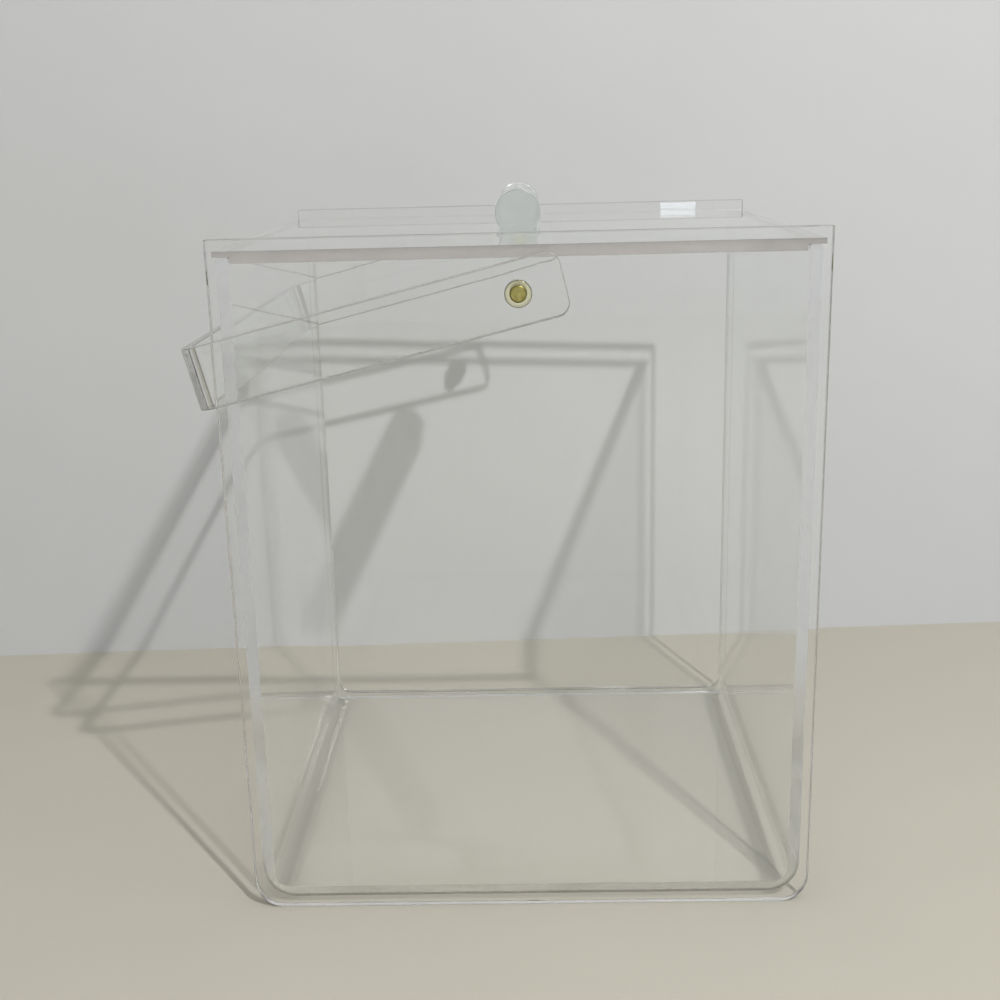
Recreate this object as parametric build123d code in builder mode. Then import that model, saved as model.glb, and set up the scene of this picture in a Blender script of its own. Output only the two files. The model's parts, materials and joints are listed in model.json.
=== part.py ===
"""Clear acrylic box with a lift-off lid and a swing handle, cut and bent from sheet.

Two flat panels, front and back, stand either side of one sheet bent into a U, which makes
both side walls and the floor. The panels are wider, taller and deeper than the bent sheet,
so they overhang it, carry the whole box on their lower edges and keep the lid in place
between them. The lid is one plate, rebated at both ends, and its knob is a length of round
bar along its middle. A flat strip bent into a U is the handle. It turns on a brass pin
through a clear bushing near the top of each panel, and rests with its bends against the
panels' side edges.

Millimetres. The origin is on the table under the middle of the box, +X to the right,
+Y to the back and +Z up. The front panel faces -Y.
"""

import os
from math import acos, atan2, cos, degrees, hypot, sin, sqrt

from build123d import *

# Box: panels and bent sheet
panel_width = 200.0
panel_height = 240.0
box_depth = 185.0
sheet_thickness = 4.0
panel_overhang = 3.0
panel_corner_radius = 10.0
wrap_inner_bend_radius = 5.0
wrap_outer_bend_radius = 11.5
edge_bevel = 0.4

# Lid plate
lid_thickness = 4.0
lid_rebate_depth = 2.0
lid_below_panel_top = 4.0
lid_past_side_wall = 1.3
lid_to_panel_gap = 0.4
lid_to_side_wall_gap = 0.6

# Knob, a length of round bar
knob_diameter = 16.0
knob_length = 90.0
knob_flat_depth = 0.4
knob_end_bevel = 0.4

# Handle
handle_width = 21.0
handle_thickness = 4.0
handle_inner_bend_radius = 4.0
handle_to_panel_gap = 1.0
bar_past_panel_edge = 7.2
handle_tip_past_pivot = 15.3
handle_tip_radius = 4.5
pivot_below_panel_top = 18.7
rest_gap = 0.3

# Pivot pins and bushings
pin_diameter = 5.6
pin_end_bevel = 0.5
pin_past_bushing = 0.3
pin_glue_gap = 0.05
bushing_diameter = 8.8
bushing_past_handle = 0.4
bushing_lip_bevel = 0.5
handle_running_gap = 0.06

# Cuts run this far past the faces that they go through
cut_overrun = 1.0

# Places that follow from the sizes
inner_depth = box_depth - 2 * sheet_thickness
wrap_width = panel_width - 2 * panel_overhang
room_width = wrap_width - 2 * sheet_thickness
lid_top = panel_height - lid_below_panel_top
lid_upper_thickness = lid_thickness - lid_rebate_depth
wall_top = lid_top - lid_upper_thickness
lid_upper_width = wrap_width + 2 * lid_past_side_wall
lid_lower_width = room_width - 2 * lid_to_side_wall_gap
lid_depth = inner_depth - 2 * lid_to_panel_gap
knob_axis_height = lid_top + knob_diameter / 2 - knob_flat_depth
pivot_height = panel_height - pivot_below_panel_top
arm_inner_y = box_depth / 2 + handle_to_panel_gap
arm_outer_y = arm_inner_y + handle_thickness
bar_inner_reach = panel_width / 2 + bar_past_panel_edge
bushing_bore_diameter = pin_diameter + 2 * pin_glue_gap
bushing_length = arm_outer_y + bushing_past_handle - box_depth / 2

# The insides of the bends meet the panels' side edges, which sets how far the arms droop.
# There the bar's lower edge stands off the panels by the depth of the bend's curve.
bend_stand_off = handle_inner_bend_radius - sqrt(
    handle_to_panel_gap * (2 * handle_inner_bend_radius - handle_to_panel_gap)
)
bar_edge_reach = hypot(bar_inner_reach, handle_width / 2)
bar_edge_angle = atan2(handle_width / 2, bar_inner_reach)
bar_edge_rest_x = panel_width / 2 + bend_stand_off + rest_gap
droop = acos(bar_edge_rest_x / bar_edge_reach) - bar_edge_angle
handle_sweep_degrees = 180 + 2 * degrees(droop)


def finish(piece, name):
    """Labels a finished piece and writes it as its own file."""
    piece.part.label = name
    export_step(piece.part, f"parts/{name}.step")


os.makedirs("parts", exist_ok=True)

# Front panel: flat sheet with square upper corners, rounded lower corners and the pin's bore
with BuildPart() as front_panel:
    with BuildSketch(Plane.XZ.offset(inner_depth / 2)) as panel_outline:
        with Locations((0, panel_height / 2)):
            Rectangle(panel_width, panel_height)
        fillet(panel_outline.vertices().group_by(Axis.Y)[0], panel_corner_radius)
    extrude(amount=sheet_thickness)
    chamfer(front_panel.edges().filter_by(Axis.Y, reverse=True), edge_bevel)
    with BuildSketch(Plane.XZ.offset(inner_depth / 2 - cut_overrun)):
        with Locations((0, pivot_height)):
            Circle(pin_diameter / 2 + pin_glue_gap)
    extrude(amount=sheet_thickness + 2 * cut_overrun, mode=Mode.SUBTRACT)
finish(front_panel, "front_panel")

# Back panel: the same sheet on the other side
with BuildPart() as back_panel:
    mirror(front_panel.part, about=Plane.XZ)
finish(back_panel, "back_panel")

# Bent sheet: one strip that goes down one side, across the floor and up the other side.
# It is drawn thinner round its bends, so their outsides have a larger radius of their own.
with BuildPart() as body_wrap:
    with BuildSketch(Plane.XZ):
        with BuildLine():
            outside = FilletPolyline(
                (-wrap_width / 2, wall_top),
                (-wrap_width / 2, panel_overhang),
                (wrap_width / 2, panel_overhang),
                (wrap_width / 2, wall_top),
                radius=wrap_outer_bend_radius,
            )
            inside = FilletPolyline(
                (-room_width / 2, wall_top),
                (-room_width / 2, panel_overhang + sheet_thickness),
                (room_width / 2, panel_overhang + sheet_thickness),
                (room_width / 2, wall_top),
                radius=wrap_inner_bend_radius,
            )
            Line(outside @ 0, inside @ 0)
            Line(outside @ 1, inside @ 1)
        make_face()
    extrude(amount=inner_depth / 2, both=True)
    wrap_rims = body_wrap.faces().filter_by(Axis.Z).group_by(Axis.Z)[-1]
    chamfer(wrap_rims.edges().filter_by(Axis.Y), edge_bevel)
finish(body_wrap, "body_wrap")

# Lid plate: the upper half lies on the side walls and the lower half drops between them
with BuildPart() as lid_plate:
    with BuildSketch(Plane.XZ):
        with Locations((0, lid_top)):
            Rectangle(lid_upper_width, lid_upper_thickness, align=(Align.CENTER, Align.MAX))
        with Locations((0, wall_top)):
            Rectangle(lid_lower_width, lid_rebate_depth, align=(Align.CENTER, Align.MAX))
    extrude(amount=lid_depth / 2, both=True)
    lid_rims = lid_plate.faces().filter_by(Axis.Z)
    chamfer(lid_rims.group_by(Axis.Z)[-1].edges(), edge_bevel)
    chamfer(lid_rims.group_by(Axis.Z)[0].edges(), edge_bevel)
finish(lid_plate, "lid_plate")

# Knob: a length of round bar that lies from front to back at the middle of the lid, with a
# narrow flat planed along its underside, where it is glued down
with BuildPart() as lid_knob:
    with BuildSketch(Plane.XZ):
        with Locations((0, knob_axis_height)):
            Circle(knob_diameter / 2)
    extrude(amount=knob_length / 2, both=True)
    chamfer(lid_knob.edges().filter_by(GeomType.CIRCLE), knob_end_bevel)
    split(bisect_by=Plane.XY.offset(lid_top), keep=Keep.TOP)
finish(lid_knob, "lid_knob")

# Handle: a flat strip bent into a U, its arms outside the panels and its bar at the left.
# Its plane follows the arms as they droop, with X towards the arms' tips.
handle_plane = Plane(
    origin=(0, 0, pivot_height),
    x_dir=(cos(droop), 0, sin(droop)),
    z_dir=(-sin(droop), 0, cos(droop)),
)
with BuildPart() as handle:
    with BuildSketch(handle_plane):
        with BuildLine():
            arm_middle_y = arm_inner_y + handle_thickness / 2
            bar_middle_x = bar_inner_reach + handle_thickness / 2
            FilletPolyline(
                (handle_tip_past_pivot, -arm_middle_y),
                (-bar_middle_x, -arm_middle_y),
                (-bar_middle_x, arm_middle_y),
                (handle_tip_past_pivot, arm_middle_y),
                radius=handle_inner_bend_radius + handle_thickness / 2,
            )
        trace(line_width=handle_thickness)
    extrude(amount=handle_width / 2, both=True)
    towards_tips = Axis(handle_plane.origin, handle_plane.x_dir)
    across_strip = Axis(handle_plane.origin, handle_plane.z_dir)
    fillet(handle.edges().filter_by(Axis.Y).group_by(towards_tips)[-1], handle_tip_radius)
    strip_rims = handle.faces().filter_by(across_strip).edges()
    tip_seams = strip_rims.filter_by(Axis.Y).group_by(towards_tips)[-1]
    chamfer(strip_rims - tip_seams, edge_bevel)
    with BuildSketch(Plane.XZ):
        with Locations((0, pivot_height)):
            Circle(bushing_diameter / 2 + handle_running_gap)
    extrude(amount=arm_outer_y + cut_overrun, both=True, mode=Mode.SUBTRACT)
finish(handle, "handle")

# Front pivot pin: brass, glued into the panel and flush with its inner face
with BuildPart() as front_pivot_pin:
    with BuildSketch(Plane.XZ.offset(inner_depth / 2)):
        with Locations((0, pivot_height)):
            Circle(pin_diameter / 2)
    extrude(amount=sheet_thickness + bushing_length + pin_past_bushing)
    chamfer(front_pivot_pin.edges().group_by(Axis.Y)[0], pin_end_bevel)
finish(front_pivot_pin, "front_pivot_pin")

# Back pivot pin
with BuildPart() as back_pivot_pin:
    mirror(front_pivot_pin.part, about=Plane.XZ)
finish(back_pivot_pin, "back_pivot_pin")

# Front bushing: a clear sleeve on the pin, from the panel out through the arm
with BuildPart() as front_pivot_bushing:
    with BuildSketch(Plane.XZ.offset(box_depth / 2)):
        with Locations((0, pivot_height)):
            Circle(bushing_diameter / 2)
            Circle(bushing_bore_diameter / 2, mode=Mode.SUBTRACT)
    extrude(amount=bushing_length)
    bushing_lip = front_pivot_bushing.edges().group_by(Axis.Y)[0].sort_by(SortBy.RADIUS)[-1]
    chamfer(bushing_lip, bushing_lip_bevel)
finish(front_pivot_bushing, "front_pivot_bushing")

# Back bushing
with BuildPart() as back_pivot_bushing:
    mirror(front_pivot_bushing.part, about=Plane.XZ)
finish(back_pivot_bushing, "back_pivot_bushing")

print(f"arms droop {degrees(droop):.3f} degrees at rest and sweep {handle_sweep_degrees:.3f}")
print(f"pivot height {pivot_height:.3f}, lid top {lid_top:.3f}")
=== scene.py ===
import json
from math import acos, asin, atan2, cos, degrees, hypot, pi, radians, sin, sqrt

import bmesh
import bpy
from mathutils import Matrix, Vector


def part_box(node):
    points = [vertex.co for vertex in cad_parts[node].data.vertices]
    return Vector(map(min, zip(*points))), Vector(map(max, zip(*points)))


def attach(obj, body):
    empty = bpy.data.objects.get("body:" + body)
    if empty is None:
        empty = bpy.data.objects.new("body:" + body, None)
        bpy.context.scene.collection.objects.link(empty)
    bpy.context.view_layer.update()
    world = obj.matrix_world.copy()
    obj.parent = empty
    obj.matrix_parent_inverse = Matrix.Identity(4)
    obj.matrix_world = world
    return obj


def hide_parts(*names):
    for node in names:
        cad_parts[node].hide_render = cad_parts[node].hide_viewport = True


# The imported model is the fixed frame. Everything is in metres, in the model's own frame.
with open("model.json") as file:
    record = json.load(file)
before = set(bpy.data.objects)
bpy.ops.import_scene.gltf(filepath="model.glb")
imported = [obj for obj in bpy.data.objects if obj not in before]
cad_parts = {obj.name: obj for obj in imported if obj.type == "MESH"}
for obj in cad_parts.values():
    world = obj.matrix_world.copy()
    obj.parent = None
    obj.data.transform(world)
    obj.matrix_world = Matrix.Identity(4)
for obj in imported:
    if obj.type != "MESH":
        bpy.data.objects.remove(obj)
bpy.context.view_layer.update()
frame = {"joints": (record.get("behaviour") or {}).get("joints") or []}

MM = 0.001

# Sizes that the frame gives
front_low, front_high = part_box("front_panel")
back_low, back_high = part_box("back_panel")
wrap_low, wrap_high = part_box("body_wrap")
lid_low, lid_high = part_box("lid_plate")
knob_low, knob_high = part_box("lid_knob")
pin_low, pin_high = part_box("front_pivot_pin")
bushing_low, bushing_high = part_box("front_pivot_bushing")
swing = next(joint for joint in frame["joints"] if joint["name"] == "handle_swing")
pivot = Vector(swing["pos_m"])
sheet_thickness = front_high.y - front_low.y
panel_width = front_high.x - front_low.x
pin_radius = (pin_high.x - pin_low.x) / 2
bushing_radius = (bushing_high.x - bushing_low.x) / 2
knob_radius = (knob_high.x - knob_low.x) / 2

# Shapes that the boxes don't give, as the model has them, but with its bevels rounded
edge_round = 0.4 * MM
pin_end_round = 0.5 * MM
bushing_lip_round = 0.5 * MM
panel_lower_corner_radius = 10 * MM
wrap_inner_bend_radius = 5 * MM
wrap_outer_bend_radius = 11.5 * MM
lid_rebate_depth = 2 * MM
lid_to_side_wall_gap = 0.6 * MM
handle_width = 21 * MM
handle_thickness = 4 * MM
handle_inner_bend_radius = 4 * MM
handle_to_panel_gap = 1 * MM
bar_past_panel_edge = 7.2 * MM
handle_tip_past_pivot = 15.3 * MM
handle_tip_radius = 4.5 * MM
handle_running_gap = 0.06 * MM
rest_gap = 0.3 * MM

# Small things that the model doesn't have
panel_upper_corner_radius = 0.6 * MM
cement_bead_radius = 2 * MM
# The painted shade strip runs along the outer edge of the bent sheet's bonds and is darkest near
# the table
painted_shade_strip_width = 1.0 * MM

# Glued faces reach a hair into each other, so that light passes as through one piece.
# Faces that only touch stand a hair apart, so that there is a film of air between them.
# The knob's foot stands a hair apart too, though it is glued.
glue_overlap = 0.02 * MM
air_film = 0.05 * MM

# How finely round shapes are divided
round_steps = 4
corner_steps = 16
pin_bore_steps = 32
strip_bore_steps = 48
bend_steps = 24
turned_steps = 96

# How meshes are joined, rounded and shaded
weld_distance = 0.001 * MM
level_margin = 0.05 * MM
sharp_angle = radians(40)
round_profile = 0.5

# Material places in each piece's list
FACE, EDGE, BOND, BEND, PAINTED_SHADE_STRIP, RIM = range(6)


def new_piece(name, builder, materials, body, slot, *nodes):
    """Makes a piece from a bmesh, gives it its materials and lets it stand for its CAD nodes."""
    bmesh.ops.remove_doubles(builder, verts=builder.verts, dist=weld_distance)
    bmesh.ops.recalc_face_normals(builder, faces=builder.faces)
    for edge in builder.edges:
        edge.smooth = edge.calc_face_angle(0) < sharp_angle
    for face in builder.faces:
        face.smooth = True
    mesh = bpy.data.meshes.new(name)
    builder.to_mesh(mesh)
    builder.free()
    for material in materials:
        mesh.materials.append(material)
    piece = bpy.data.objects.new(name, mesh)
    bpy.context.scene.collection.objects.link(piece)
    normals = piece.modifiers.new("normals", "WEIGHTED_NORMAL")
    normals.keep_sharp = True
    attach(piece, body)
    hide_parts(*nodes)


def arc(centre_u, centre_w, radius, start, end, steps):
    """Points along an arc, with its angles in degrees."""
    angles = [radians(start + (end - start) * i / steps) for i in range(steps + 1)]
    return [(centre_u + radius * cos(a), centre_w + radius * sin(a)) for a in angles]


def edge_steps(low, high):
    """Inset and depth of each ring round a plate, from one rounded rim to the other."""
    turns = [radians(90 * i / round_steps) for i in range(round_steps + 1)]
    rim = [(edge_round * (1 - sin(a)), edge_round * (1 - cos(a))) for a in turns]
    return [(i, low + d) for i, d in rim] + [(i, high - d) for i, d in reversed(rim)]


def ring(builder, points):
    """A closed ring of vertices."""
    return [builder.verts.new(p) for p in points]


def join_rings(builder, one, other, material, closed=True):
    """Quads from one ring to the next."""
    count = len(one)
    faces = []
    for i in range(count if closed else count - 1):
        j = (i + 1) % count
        faces.append(builder.faces.new((one[i], one[j], other[j], other[i])))
        faces[-1].material_index = material
    return faces


def fill_with_hole(builder, outer, hole, material):
    """Flat face between an outer ring and a hole."""
    edges = []
    for loop in (outer, hole):
        for i, vert in enumerate(loop):
            pair = (vert, loop[(i + 1) % len(loop)])
            edges.append(builder.edges.get(pair) or builder.edges.new(pair))
    filled = bmesh.ops.triangle_fill(builder, edges=edges, use_beauty=True)
    for item in filled["geom"]:
        if isinstance(item, bmesh.types.BMFace):
            item.material_index = material


def round_rims(builder, rims):
    """Rounds edges as the plates' rims are."""
    bmesh.ops.bevel(
        builder, geom=rims, offset=edge_round, segments=round_steps, profile=round_profile,
        affect="EDGES", material=RIM,
    )


def panel_outline(inset):
    """The panel seen from the front: nearly square upper corners and rounded lower corners."""
    half = panel_width / 2
    low_r = panel_lower_corner_radius
    top_r = panel_upper_corner_radius
    top = front_high.z - top_r
    return (
        arc(half - top_r, top, top_r - inset, 0, 90, round_steps)
        + arc(top_r - half, top, top_r - inset, 90, 180, round_steps)
        + arc(low_r - half, low_r, low_r - inset, 180, 270, corner_steps)
        + arc(half - low_r, low_r, low_r - inset, 270, 360, corner_steps)
    )


def panel(low, high):
    """Flat panel with rounded edges and the bore that its pin is glued in."""
    builder = bmesh.new()
    rings = [
        ring(builder, [(u, depth, w) for u, w in panel_outline(inset)])
        for inset, depth in edge_steps(low.y, high.y)
    ]
    for i, (one, other) in enumerate(zip(rings, rings[1:])):
        join_rings(builder, one, other, EDGE if i == round_steps else RIM)
    bore = arc(pivot.x, pivot.z, pin_radius - glue_overlap, 0, 360, pin_bore_steps)[:-1]
    holes = [ring(builder, [(u, depth, w) for u, w in bore]) for depth in (low.y, high.y)]
    join_rings(builder, holes[0], holes[1], EDGE)
    fill_with_hole(builder, rings[0], holes[0], FACE)
    fill_with_hole(builder, rings[-1], holes[1], FACE)
    return builder


def wrap_rails():
    """Lines along the bent sheet's section: its outside, the inner edge of its painted shade
    strip and its inside.
    """
    lines = (
        (0, wrap_outer_bend_radius),
        (painted_shade_strip_width, wrap_outer_bend_radius - painted_shade_strip_width),
        (sheet_thickness, wrap_inner_bend_radius),
    )
    rails = []
    for depth, radius in lines:
        centre_x = wrap_high.x - depth - radius
        centre_z = wrap_low.z + depth + radius
        bends = arc(-centre_x, centre_z, radius, 180, 270, bend_steps)
        bends += arc(centre_x, centre_z, radius, 270, 360, bend_steps)
        rails.append([(bends[0][0], wrap_high.z)] + bends + [(bends[-1][0], wrap_high.z)])
    return rails


def body_wrap():
    """One sheet bent into both side walls and the floor, glued to the panels at its ends."""
    builder = bmesh.new()
    outer, shade_line, inner = wrap_rails()
    front = [(rail, wrap_low.y - glue_overlap) for rail in (outer, shade_line, inner)]
    back = [(rail, wrap_high.y + glue_overlap) for rail in (inner, shade_line, outer)]
    lines = [ring(builder, [(u, depth, w) for u, w in rail]) for rail, depth in front + back]
    left_bend = range(1, 1 + bend_steps)
    right_bend = range(2 + bend_steps, 2 + 2 * bend_steps)
    following = lines[1:] + lines[:1]
    for one, other, material in zip(lines, following, (PAINTED_SHADE_STRIP, BOND, FACE, BOND, PAINTED_SHADE_STRIP, FACE)):
        strip = join_rings(builder, one, other, material, closed=False)
        if material == FACE:
            for k in (*left_bend, *right_bend):
                strip[k].material_index = BEND
    for k in (0, -1):
        rim = builder.faces.new([line[k] for line in lines])
        rim.material_index = EDGE
    rims = [
        edge
        for edge in builder.edges
        if all(v.co.z > wrap_high.z - level_margin for v in edge.verts)
        and abs(edge.verts[0].co.y - edge.verts[1].co.y) > sheet_thickness
    ]
    round_rims(builder, rims)
    return builder


def lid_plate():
    """Plate that lies on both side walls, rebated so that its lower half drops between them."""
    builder = bmesh.new()
    upper_half = lid_high.x
    lower_half = wrap_high.x - sheet_thickness - lid_to_side_wall_gap
    step = lid_high.z - lid_rebate_depth + air_film
    half_section = [
        (lower_half, lid_low.z),
        (lower_half, step),
        (upper_half, step),
        (upper_half, lid_high.z),
    ]
    section = half_section + [(-u, w) for u, w in reversed(half_section)]
    ends = [ring(builder, [(u, y, w) for u, w in section]) for y in (lid_low.y, lid_high.y)]
    join_rings(builder, ends[0], ends[1], FACE)
    for end in ends:
        # The third face has no area. It joins the lower half's face to the upper half's.
        for part in ((0, 1, 6, 7), (2, 3, 4, 5), (1, 2, 5, 6)):
            builder.faces.new([end[i] for i in part])
    builder.normal_update()
    for face in builder.faces:
        level = abs(face.normal.z) > max(abs(face.normal.x), abs(face.normal.y))
        face.material_index = FACE if level else EDGE
    rims = [
        edge
        for edge in builder.edges
        for height in (lid_low.z, lid_high.z)
        if all(abs(v.co.z - height) < level_margin for v in edge.verts)
    ]
    round_rims(builder, rims)
    return builder


def turned(profile, base, axis, closed):
    """Turns a profile of (radius, height) points round an axis through base."""
    builder = bmesh.new()
    side = axis.orthogonal().normalized()
    other = axis.cross(side)
    rings = []
    for radius, height in profile:
        points = []
        for i in range(turned_steps):
            a = 2 * pi * i / turned_steps
            out = side * cos(a) + other * sin(a)
            points.append(base + axis * height + out * radius)
        rings.append(ring(builder, points))
    for one, following in zip(rings, rings[1:]):
        join_rings(builder, one, following, FACE)
    if closed:
        join_rings(builder, rings[-1], rings[0], FACE)
    else:
        for end in (rings[0], rings[-1]):
            builder.faces.new(end)
    return builder


def knob_section(inset):
    """Round bar's section, with the bead of cement that runs along both sides of its foot."""
    axis_height = knob_high.z - knob_radius
    bead_height = knob_low.z + cement_bead_radius
    apart = knob_radius + cement_bead_radius
    bead_x = sqrt(apart ** 2 - (axis_height - bead_height) ** 2)
    hollow = cement_bead_radius + inset
    foot = 180 + degrees(asin((cement_bead_radius - air_film) / hollow))
    meet = degrees(atan2(axis_height - bead_height, -bead_x))
    bead = arc(bead_x, bead_height, hollow, foot, meet, bend_steps)
    bar = arc(0, axis_height, knob_radius - inset, meet - 180, 360 - meet, turned_steps)
    return bead + bar[1:-1] + [(-u, w) for u, w in reversed(bead)]


def lid_knob():
    """Length of round bar, lying from front to back, with sawn ends and rounded rims."""
    builder = bmesh.new()
    rings = [
        ring(builder, [(u, depth, w) for u, w in knob_section(inset)])
        for inset, depth in edge_steps(knob_low.y, knob_high.y)
    ]
    for one, other in zip(rings, rings[1:]):
        join_rings(builder, one, other, FACE)
    for end in (rings[0], rings[-1]):
        builder.faces.new(end).material_index = EDGE
    return builder


def rounded_end(radius, height, round_radius):
    """Profile of a rod's rounded end, towards its tip."""
    turns = [radians(90 * i / round_steps) for i in range(round_steps + 1)]
    return [
        (radius - round_radius * (1 - cos(a)), height - round_radius * (1 - sin(a)))
        for a in turns
    ]


def pivot_pin(side):
    """Brass pin, flush with the panel's inner face and a little proud of the bushing."""
    length = pin_high.y - pin_low.y
    profile = [(pin_radius, air_film)] + rounded_end(pin_radius, length, pin_end_round)
    inner_end = Vector((pivot.x, side * abs(pin_high.y), pivot.z))
    return turned(profile, inner_end, Vector((0, side, 0)), closed=False)


def pivot_bushing(side):
    """Clear sleeve glued on the pin, with its outer lip rounded."""
    length = bushing_high.y - bushing_low.y
    bore = pin_radius - glue_overlap
    lip = rounded_end(bushing_radius, length, bushing_lip_round)
    profile = [(bore, air_film), (bushing_radius, air_film)] + lip + [(bore, length)]
    inner_end = Vector((pivot.x, side * abs(bushing_high.y), pivot.z))
    return turned(profile, inner_end, Vector((0, side, 0)), closed=True)


# The handle is a flat strip, bent after its ends are rounded and bored. At rest the insides
# of its bends meet the panels' side edges, which sets how far its arms droop.
arm_middle_y = back_high.y + handle_to_panel_gap + handle_thickness / 2
bend_radius = handle_inner_bend_radius + handle_thickness / 2
bar_reach = panel_width / 2 + bar_past_panel_edge
bar_middle = bar_reach + handle_thickness / 2
edge_reach = hypot(bar_reach, handle_width / 2)
bend_stand_off = handle_inner_bend_radius - sqrt(
    handle_to_panel_gap * (2 * handle_inner_bend_radius - handle_to_panel_gap)
)
edge_rest_x = panel_width / 2 + bend_stand_off + rest_gap
droop = acos(edge_rest_x / edge_reach) - atan2(handle_width / 2, bar_reach)

# Places along the flat strip, from its front tip to its back tip
arm_length = handle_tip_past_pivot + bar_middle - bend_radius
bend_length = bend_radius * pi / 2
bar_length = 2 * (arm_middle_y - bend_radius)
bar_start = arm_length + bend_length
bar_end = bar_start + bar_length
back_arm_start = bar_end + bend_length
strip_length = back_arm_start + arm_length
strip_pivots = (handle_tip_past_pivot, strip_length - handle_tip_past_pivot)

# Share of each inner bend, round its middle, that is tinted near-black as painted shade
painted_bend_shade_share = 1 / 3


def bent(along, across, out):
    """Place of a point of the flat strip once it is bent and hangs at rest.

    along runs from the front tip to the back tip, across is the strip's width and out is
    the distance from the strip's middle plane, outwards.
    """
    middle_x = bend_radius - bar_middle
    middle_y = arm_middle_y - bend_radius
    if along <= arm_length:
        x = handle_tip_past_pivot - along
        y = -arm_middle_y - out
    elif along < bar_start:
        turn = (along - arm_length) / bend_radius
        x = middle_x - (bend_radius + out) * sin(turn)
        y = -middle_y - (bend_radius + out) * cos(turn)
    elif along <= bar_end:
        x = -bar_middle - out
        y = along - bar_start - middle_y
    elif along < back_arm_start:
        turn = (along - bar_end) / bend_radius
        x = middle_x - (bend_radius + out) * cos(turn)
        y = middle_y + (bend_radius + out) * sin(turn)
    else:
        x = along - back_arm_start + middle_x
        y = arm_middle_y + out
    height = x * sin(droop) + across * cos(droop)
    return Vector((x * cos(droop) - across * sin(droop), y, pivot.z + height))


def strip_stations():
    """Distances along the strip at which it is divided: its bends finely, the rest coarsely."""
    half_way = [2 * handle_tip_past_pivot, arm_length]
    half_way += [arm_length + bend_length * (i + 1) / bend_steps for i in range(bend_steps)]
    return half_way + [strip_length / 2] + [strip_length - s for s in reversed(half_way)]


def strip_outline(inset):
    """The flat strip's outline: its lower side, back tip, upper side and front tip."""
    half = handle_width / 2
    r = handle_tip_radius
    stations = strip_stations()
    back_tip = arc(strip_length - r, r - half, r - inset, 270, 360, corner_steps)
    back_tip += arc(strip_length - r, half - r, r - inset, 0, 90, corner_steps)
    front_tip = arc(r, half - r, r - inset, 90, 180, corner_steps)
    front_tip += arc(r, r - half, r - inset, 180, 270, corner_steps)
    lower = [(s, inset - half) for s in stations]
    upper = [(s, half - inset) for s in reversed(stations)]
    return lower, back_tip, upper, front_tip


def strip_bore(builder, pivot_along, out):
    """Ring where a bushing's bore meets one side of the flat strip."""
    radius = bushing_radius + handle_running_gap
    bore = arc(pivot_along, 0, radius, 0, 360, strip_bore_steps)[:-1]
    return ring(builder, [(s, out, w) for s, w in bore])


def strip_side(builder, loop, out, count, tip):
    """One flat side of the strip inside its outline: quads between its tips, holes in them.

    count is the number of stations along the strip and tip the number of points round a tip.
    """
    upper_start = count + tip
    upper_end = upper_start + count - 1
    middle = count / 2 - 1
    bend_from_middle = 1 + bend_steps / 2
    for i in range(count - 1):
        j = upper_end - i
        quad = builder.faces.new((loop[i], loop[i + 1], loop[j - 1], loop[j]))
        from_bend = abs(abs(i - middle) - bend_from_middle)
        # Round the middle of each inner bend, on its inner side, a band of painted shade
        dark = out < 0 and from_bend < bend_steps * painted_bend_shade_share / 2
        quad.material_index = BEND if dark else FACE
    tips = (loop[upper_end:] + loop[:1], loop[count - 1:upper_start + 1])
    for outline, pivot_along in zip(tips, strip_pivots):
        fill_with_hole(builder, outline, strip_bore(builder, pivot_along, out), FACE)


def handle_strip():
    """Flat strip with rounded tips and two bores, bent into a U."""
    builder = bmesh.new()
    half_out = handle_thickness / 2
    rings = []
    for inset, out in edge_steps(-half_out, half_out):
        outline = [p for part in strip_outline(inset) for p in part]
        rings.append(ring(builder, [(s, out, w) for s, w in outline]))
    for one, other in zip(rings, rings[1:]):
        join_rings(builder, one, other, EDGE)
    lower, back_tip = strip_outline(0)[:2]
    strip_side(builder, rings[0], -half_out, len(lower), len(back_tip))
    strip_side(builder, rings[-1], half_out, len(lower), len(back_tip))
    for pivot_along in strip_pivots:
        sides = [strip_bore(builder, pivot_along, out) for out in (-half_out, half_out)]
        join_rings(builder, sides[0], sides[1], EDGE)
    for vert in builder.verts:
        vert.co = bent(vert.co.x, vert.co.z, vert.co.y)
    return builder


def node_tree(name):
    """A new material and its empty node tree."""
    material = bpy.data.materials.new(name)
    material.use_nodes = True
    tree = material.node_tree
    tree.nodes.clear()
    return material, tree


def add(tree, kind, settings=(), **inputs):
    """Adds a node, sets its properties, and sets or links its inputs.

    An input is given by its name, or as _0, _1 and so on by its place.
    """
    node = tree.nodes.new(kind)
    for key, value in dict(settings).items():
        setattr(node, key, value)
    for key, value in inputs.items():
        by_place = key.startswith("_")
        socket = node.inputs[int(key[1:]) if by_place else key.replace("_", " ")]
        if isinstance(value, bpy.types.NodeSocket):
            tree.links.new(value, socket)
        else:
            socket.default_value = value
    return node


def calculate(tree, operation, one, other=0.0):
    """One Math node's result."""
    return add(tree, "ShaderNodeMath", {"operation": operation}, _0=one, _1=other).outputs[0]


def mapped(tree, value, from_low, from_high, to_low=0.0, to_high=1.0):
    """A value carried from one range to another, and held within it."""
    return add(
        tree, "ShaderNodeMapRange", _0=value, _1=from_low, _2=from_high, _3=to_low, _4=to_high
    ).outputs[0]


def blended(tree, amount, one, other):
    """Colour between two colours."""
    return add(
        tree, "ShaderNodeMix", {"data_type": "RGBA"}, Factor=amount, _6=one, _7=other
    ).outputs[2]


def waved(tree, depth, height, under=None):
    """Bump of a given depth in metres, laid over another bump."""
    laid_over = {"Normal": under} if under else {}
    return add(
        tree, "ShaderNodeBump", Strength=1.0, Distance=depth, Height=height, **laid_over
    ).outputs[0]


def place(tree):
    """The piece's own coordinates, in metres."""
    return add(tree, "ShaderNodeTexCoord").outputs["Object"]


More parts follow.
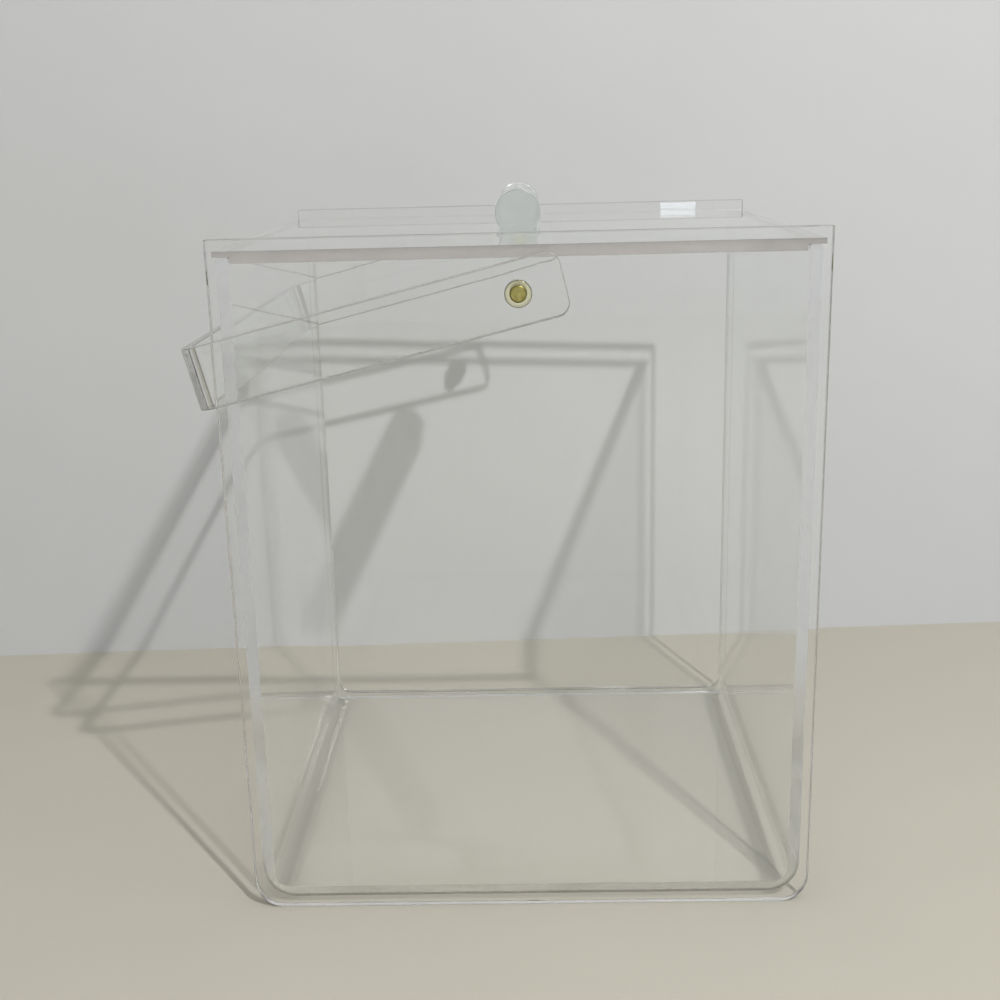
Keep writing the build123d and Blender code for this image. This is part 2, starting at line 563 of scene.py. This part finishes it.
def noise(tree, scale, detail):
    """Noise over the piece, with its scale in cycles per metre."""
    return add(
        tree, "ShaderNodeTexNoise", Vector=place(tree), Scale=scale, Detail=detail
    ).outputs["Fac"]


def up_from_table(tree):
    """Zero near the table and one higher up."""
    height = add(tree, "ShaderNodeSeparateXYZ", Vector=place(tree)).outputs["Z"]
    return mapped(tree, height, *tint_heights)


def from_pivot(tree, near, far):
    """Zero within one distance of the pivot's axis and one beyond another."""
    parts = add(tree, "ShaderNodeSeparateXYZ", Vector=place(tree)).outputs
    aside = calculate(tree, "SUBTRACT", parts["X"], pivot.x)
    above = calculate(tree, "SUBTRACT", parts["Z"], pivot.z)
    squares = [calculate(tree, "POWER", part, 2.0) for part in (aside, above)]
    distance = calculate(tree, "SQRT", calculate(tree, "ADD", *squares))
    return mapped(tree, distance, near, far)


def out_to_lip_shade(tree):
    """Zero over a bushing's middle and one at its outer lip, where its painted shade is whole."""
    return from_pivot(tree, bushing_radius - 2 * bushing_lip_round, bushing_radius)


# Tints of clear acrylic. Bonds and painted shade strips have one below tint_heights and another
# above them, and bushings have one inside and another at their lip. The dark tints of cut edges,
# polished rims, the handle's edges and its inner bends are painted shade, as are the shade
# strips' dark tint near the table and the bushings' darker lip. The bonds' warmer tint near the
# table and cooler tint higher up are painted reflection of the table and the wall.
acrylic_tint = (0.993, 0.998, 0.994, 1)
edge_painted_shade_tint = (0.56, 0.53, 0.515, 1)
rim_painted_shade_tint = (0.8, 0.8, 0.79, 1)
bond_painted_reflection_tints = (0.97, 0.95, 0.88, 1), (0.95, 0.95, 0.97, 1)
painted_shade_strip_tints = (0.3, 0.29, 0.25, 1), (0.85, 0.86, 0.88, 1)
strip_edge_painted_shade_tint = (0.42, 0.41, 0.39, 1)
painted_bend_shade_tint = (0.12, 0.12, 0.12, 1)
knob_tint = (0.8, 0.86, 0.835, 1)
knob_end_tint = (0.78, 0.82, 0.8, 1)
bushing_tint_and_lip_shade = (0.98, 0.95, 0.68, 1), (0.6, 0.59, 0.46, 1)
tint_heights = 6 * MM, 22 * MM

# Clear acrylic's gloss, smudges, fine marks and waves. Each noise is a scale, in cycles per
# metre, and a detail.
acrylic_ior = 1.49
coat_roughness = 0.02
smudge_noise = 35.0, 3.0
smudge_levels = 0.5, 0.75
mark_noise = 900.0, 2.0
wave_noise = 14.0, 1.0
wave_depth = 0.05 * MM

# How much a clear face holds back from lamps where it is met at a slant
mirrored_share = 0.4
slant_power = 4.0

# Brass, its blotches, and the painted shade along its rim with how far in it starts and is whole
brass_tints = (0.38, 0.35, 0.1, 1), (0.62, 0.57, 0.24, 1)
painted_rim_shade_tint = (0.22, 0.2, 0.06, 1)
painted_rim_shade_reach = 0.8 * MM, 0.3 * MM
blotch_noise = 900.0, 4.0
blotch_levels = 0.3, 0.7
brass_roughness = 0.25, 0.45


def lets_lamps_through(tree, surface, passes):
    """Light from lamps and from pale surfaces near by passes straight through the clear pieces.

    Each face lets a share pass, less what it mirrors, which grows where it is met at a slant.
    """
    slant = add(tree, "ShaderNodeLayerWeight", Blend=0.5).outputs["Facing"]
    slanted = calculate(tree, "POWER", slant, slant_power)
    mirrored = calculate(tree, "MULTIPLY", slanted, mirrored_share)
    passed = calculate(tree, "MULTIPLY", calculate(tree, "SUBTRACT", 1.0, mirrored), passes)
    colour = add(tree, "ShaderNodeCombineColor", _0=passed, _1=passed, _2=passed).outputs[0]
    clear = add(tree, "ShaderNodeBsdfTransparent", Color=colour).outputs[0]
    rays = add(tree, "ShaderNodeLightPath").outputs
    straight = calculate(tree, "MAXIMUM", rays["Is Shadow Ray"], rays["Is Diffuse Ray"])
    return add(tree, "ShaderNodeMixShader", _0=straight, _1=surface, _2=clear).outputs[0]


def acrylic(name, tint, roughness, marks, passes, haze=0.0, coat=0.0, spread=None):
    """Clear acrylic with smudges, fine marks and a slight wave in its surface.

    roughness goes from clean to smudged, marks is the depth of the fine marks, passes the
    share of lamp light that a face lets through and haze the share that it scatters.
    Where spread is given, tint is a pair of colours and spread says which is where.
    """
    material, tree = node_tree(name)
    smudge = noise(tree, *smudge_noise)
    wave = waved(tree, wave_depth, noise(tree, *wave_noise))
    shader = add(
        tree, "ShaderNodeBsdfPrincipled",
        Base_Color=blended(tree, spread(tree), *tint) if spread else tint,
        Roughness=mapped(tree, smudge, *smudge_levels, *roughness),
        IOR=acrylic_ior,
        Transmission_Weight=1.0 - haze,
        Coat_Weight=coat,
        Coat_Roughness=coat_roughness,
        Normal=waved(tree, marks, noise(tree, *mark_noise), wave),
    )
    surface = lets_lamps_through(tree, shader.outputs[0], passes)
    add(tree, "ShaderNodeOutputMaterial", Surface=surface)
    return material


def brass(name):
    """Satin brass, browned in blotches and darkened along its rim by painted shade."""
    material, tree = node_tree(name)
    blotches = noise(tree, *blotch_noise)
    metal = blended(tree, blotches, *brass_tints)
    # Painted shade: darker towards the rim of the pin's end
    painted_rim_shade = from_pivot(tree, *[pin_radius - reach for reach in painted_rim_shade_reach])
    shader = add(
        tree, "ShaderNodeBsdfPrincipled",
        Base_Color=blended(tree, painted_rim_shade, metal, painted_rim_shade_tint),
        Metallic=1.0,
        Roughness=mapped(tree, blotches, *blotch_levels, *brass_roughness),
    )
    add(tree, "ShaderNodeOutputMaterial", Surface=shader.outputs[0])
    return material


def sheet_finishes():
    """A sheet's face, cut edge, bond, bend, painted shade strip and rim, in the order of their
    places.
    """
    return (
        acrylic(
            "acrylic_face", acrylic_tint, roughness=(0.0, 0.02), marks=0.0001 * MM, passes=1.0
        ),
        acrylic(
            "acrylic_cut_edge", edge_painted_shade_tint,
            roughness=(0.16, 0.28), marks=0.0002 * MM, passes=0.15, haze=0.25,
        ),
        # Painted reflection: warmer near the table and cooler higher up
        acrylic(
            "acrylic_bond", bond_painted_reflection_tints, spread=up_from_table,
            roughness=(0.2, 0.3), marks=0.00005 * MM, passes=0.6, haze=0.03,
        ),
        acrylic(
            "acrylic_bend", acrylic_tint, roughness=(0.0, 0.03), marks=0.0001 * MM, passes=0.7
        ),
        # Painted shade along the bonds' outer edge, nearly black near the table
        acrylic(
            "acrylic_painted_shade_strip", painted_shade_strip_tints, spread=up_from_table,
            roughness=(0.2, 0.3), marks=0.00005 * MM, passes=0.6, haze=0.1,
        ),
        acrylic(
            "acrylic_polished_rim", rim_painted_shade_tint,
            roughness=(0.0, 0.04), marks=0.00005 * MM, passes=0.6,
        ),
    )


def strip_finishes(face, bond):
    """The handle's face, cut edge and the painted shade in its inner bends. Its bond isn't used,
    but keeps its place.
    """
    edge = acrylic(
        "acrylic_strip_edge", strip_edge_painted_shade_tint,
        roughness=(0.1, 0.2), marks=0.0002 * MM, passes=0.15, haze=0.3,
    )
    bend = acrylic(
        "acrylic_painted_bend_shade", painted_bend_shade_tint, roughness=(0.0, 0.03), marks=0.0001 * MM, passes=0.7
    )
    return face, edge, bond, bend


def knob_finishes():
    """The round bar's side and its sawn ends."""
    side = acrylic(
        "acrylic_round_bar", knob_tint, roughness=(0.14, 0.22), marks=0.0001 * MM, passes=0.5
    )
    end = acrylic(
        "acrylic_sawn_end", knob_end_tint,
        roughness=(0.22, 0.34), marks=0.001 * MM, passes=0.4, haze=0.1,
    )
    return side, end


def sleeve_finish():
    """The bushings' duller acrylic, darker towards the lip as painted shade."""
    return acrylic(
        "acrylic_sleeve", bushing_tint_and_lip_shade, spread=out_to_lip_shade,
        roughness=(0.1, 0.2), marks=0.001 * MM, passes=0.4, haze=0.12, coat=0.6,
    )


def build_pieces():
    """Makes every piece of the object round the frame."""
    sheet = sheet_finishes()
    strip = strip_finishes(sheet[FACE], sheet[BOND])
    knob = knob_finishes()
    sleeve = (sleeve_finish(),)
    metal = (brass("brass_pin"),)
    for name, low, high in (("front", front_low, front_high), ("back", back_low, back_high)):
        node = f"{name}_panel"
        new_piece(f"{node}_sheet", panel(low, high), sheet, "box", "clear_sheet", node)
    new_piece("bent_sheet", body_wrap(), sheet, "box", "clear_sheet", "body_wrap")
    new_piece("lid_sheet", lid_plate(), sheet, "lid", "clear_sheet", "lid_plate")
    new_piece("round_bar_knob", lid_knob(), knob, "lid", "clear_knob", "lid_knob")
    new_piece("handle_strip", handle_strip(), strip, "handle", "clear_handle", "handle")
    for side, name in ((-1, "front"), (1, "back")):
        pin, bushing = f"{name}_pivot_pin", f"{name}_pivot_bushing"
        new_piece(f"{name}_pin", pivot_pin(side), metal, "box", "brass_pin", pin)
        new_piece(f"{name}_bushing", pivot_bushing(side), sleeve, "box", "clear_bushing", bushing)


# Camera at the photograph's angle, worked out from the photograph's perspective
camera_place = Vector((3.02, -515.94, 268.53)) * MM
camera_pitch_down = radians(15.3126)
camera_roll = radians(-1.3959)
camera_yaw = radians(-1.0437)
lens_mm, sensor_mm = 47.43, 36.0


def make_camera():
    """Puts the camera where the photograph was taken from."""
    to_camera = (
        Matrix.Rotation(camera_pitch_down, 3, "X")
        @ Matrix.Rotation(camera_roll, 3, "Y")
        @ Matrix.Rotation(camera_yaw, 3, "Z")
    )
    right, forward, up = to_camera
    turn = Matrix((right, up, -forward)).transposed()
    data = bpy.data.cameras.new("camera")
    data.lens, data.sensor_width = lens_mm, sensor_mm
    camera = bpy.data.objects.new("camera", data)
    camera.matrix_world = Matrix.Translation(camera_place) @ turn.to_4x4()
    bpy.context.scene.collection.objects.link(camera)
    bpy.context.scene.camera = camera


# Table and wall, with their mottle as a noise of a scale and a detail
stage_size = 3.4
wall_distance = 173 * MM
wall_turn = radians(2.8)
table_colour = (0.43, 0.405, 0.34, 1)
table_roughness = 0.85
wall_colour = (0.485, 0.485, 0.48, 1)
wall_roughness = 0.8
mottle_noise = 9.0, 3.0
mottle_depth = 0.03


def painted(tree, colour, roughness):
    """Plain paint with a faint mottle."""
    paler = [min(1, channel * (1 + mottle_depth)) for channel in colour]
    duller = [channel * (1 - mottle_depth) for channel in colour]
    shade = blended(tree, noise(tree, *mottle_noise), duller, paler)
    return add(
        tree, "ShaderNodeBsdfPrincipled", Base_Color=shade, Roughness=roughness
    ).outputs[0]


def paint(name, colour, roughness):
    """Paint on both sides."""
    material, tree = node_tree(name)
    add(tree, "ShaderNodeOutputMaterial", Surface=painted(tree, colour, roughness))
    return material


def one_sided_paint(name, colour, roughness):
    """Paint on a wall's front only, so that nothing behind the wall is hidden by it."""
    material, tree = node_tree(name)
    front = painted(tree, colour, roughness)
    behind = add(tree, "ShaderNodeNewGeometry").outputs["Backfacing"]
    nothing = add(tree, "ShaderNodeBsdfTransparent").outputs[0]
    mixed = add(tree, "ShaderNodeMixShader", _0=behind, _1=front, _2=nothing).outputs[0]
    add(tree, "ShaderNodeOutputMaterial", Surface=mixed)
    return material


def flat_plane(name, material):
    """A large square plane that isn't part of the object."""
    builder = bmesh.new()
    bmesh.ops.create_grid(builder, x_segments=1, y_segments=1, size=stage_size / 2)
    mesh = bpy.data.meshes.new(name)
    builder.to_mesh(mesh)
    builder.free()
    mesh.materials.append(material)
    plane = bpy.data.objects.new(name, mesh)
    bpy.context.scene.collection.objects.link(plane)
    return plane


def make_stage():
    """Pale table, a hair below the box, and close behind the box a pale wall."""
    table = flat_plane("table", paint("table_paint", table_colour, table_roughness))
    table.location.z = -air_film
    wall = flat_plane("wall", one_sided_paint("wall_paint", wall_colour, wall_roughness))
    wall.matrix_world = (
        Matrix.Translation((0, wall_distance, 0))
        @ Matrix.Rotation(wall_turn, 4, "Z")
        @ Matrix.Rotation(radians(90), 4, "X")
    )


# Colours of the room, and where its right side and its ceiling start and are whole,
# as parts of a direction along X and Z
ceiling_colour = (0.72, 0.73, 0.74, 1)
horizon_colour = (0.5, 0.485, 0.47, 1)
right_side_colour = (0.65, 0.69, 0.73, 1)
right_side_reach = 0.2, 0.9
ceiling_reach = 0.05, 0.6


def make_world():
    """A pale room by direction: light ceiling, duller horizon and a brighter right side."""
    world = bpy.data.worlds.new("surroundings")
    world.use_nodes = True
    tree = world.node_tree
    tree.nodes.clear()
    direction = add(tree, "ShaderNodeTexCoord").outputs["Generated"]
    parts = add(tree, "ShaderNodeSeparateXYZ", Vector=direction).outputs
    to_right = mapped(tree, parts["X"], *right_side_reach)
    upwards = mapped(tree, parts["Z"], *ceiling_reach)
    level = blended(tree, to_right, horizon_colour, right_side_colour)
    room = blended(tree, upwards, level, ceiling_colour)
    light = add(tree, "ShaderNodeBackground", Color=room, Strength=1.0).outputs[0]
    add(tree, "ShaderNodeOutputWorld", Surface=light)
    bpy.context.scene.world = world


# Lamps, with their sizes in metres and their powers in watts. The key lamp's place comes from
# the photograph's shadows and the window's from its reflection. The side lamp's is chosen by
# tone.
key_place = Vector((449, -860, 1109)) * MM
key_size = 0.03, 0.03
key_power = 14
window_place = Vector((295, -1900, 333)) * MM
window_size = 0.067, 0.06
window_power = 0.06
window_colour = (0.8, 0.9, 1)
side_place = Vector((1300, -600, 220)) * MM
side_size = 0.8, 0.4
side_power = 4
side_colour = (0.72, 0.87, 1)


def lamp(name, where, aim, size, power, colour=(1, 1, 1)):
    """Rectangular lamp that faces a point, and that isn't seen itself, bare or through glass."""
    data = bpy.data.lights.new(name, "AREA")
    data.shape = "RECTANGLE"
    data.size, data.size_y = size
    data.energy = power
    data.color = colour
    light = bpy.data.objects.new(name, data)
    turn = (where - aim).to_track_quat("Z", "Y").to_matrix().to_4x4()
    light.matrix_world = Matrix.Translation(where) @ turn
    light.visible_camera = False
    light.visible_transmission = False
    bpy.context.scene.collection.objects.link(light)
    return light


def make_light():
    """A key lamp above, in front and at the right, a small far window and a cool right side.

    The window is seen through the clear sheets and mirrored in them. The side lamp is neither.
    """
    lamp("key", key_place, Vector((0, 0, 0)), key_size, key_power)
    level_with_window = Vector((0, 0, window_place.z))
    window = lamp(
        "window", window_place, level_with_window, window_size, window_power, window_colour
    )
    window.visible_transmission = True
    level_with_side = Vector((0, 0, side_place.z))
    side = lamp("side", side_place, level_with_side, side_size, side_power, side_colour)
    side.visible_glossy = False
    make_world()


def set_render():
    """The standard view, and light paths long enough for stacked clear sheets."""
    scene = bpy.context.scene
    scene.view_settings.view_transform = "Standard"
    scene.cycles.max_bounces = 48
    scene.cycles.transmission_bounces = 32
    scene.cycles.glossy_bounces = 32
    scene.cycles.diffuse_bounces = 3
    scene.cycles.transparent_max_bounces = 64


build_pieces()
make_camera()
make_stage()
make_light()
set_render()
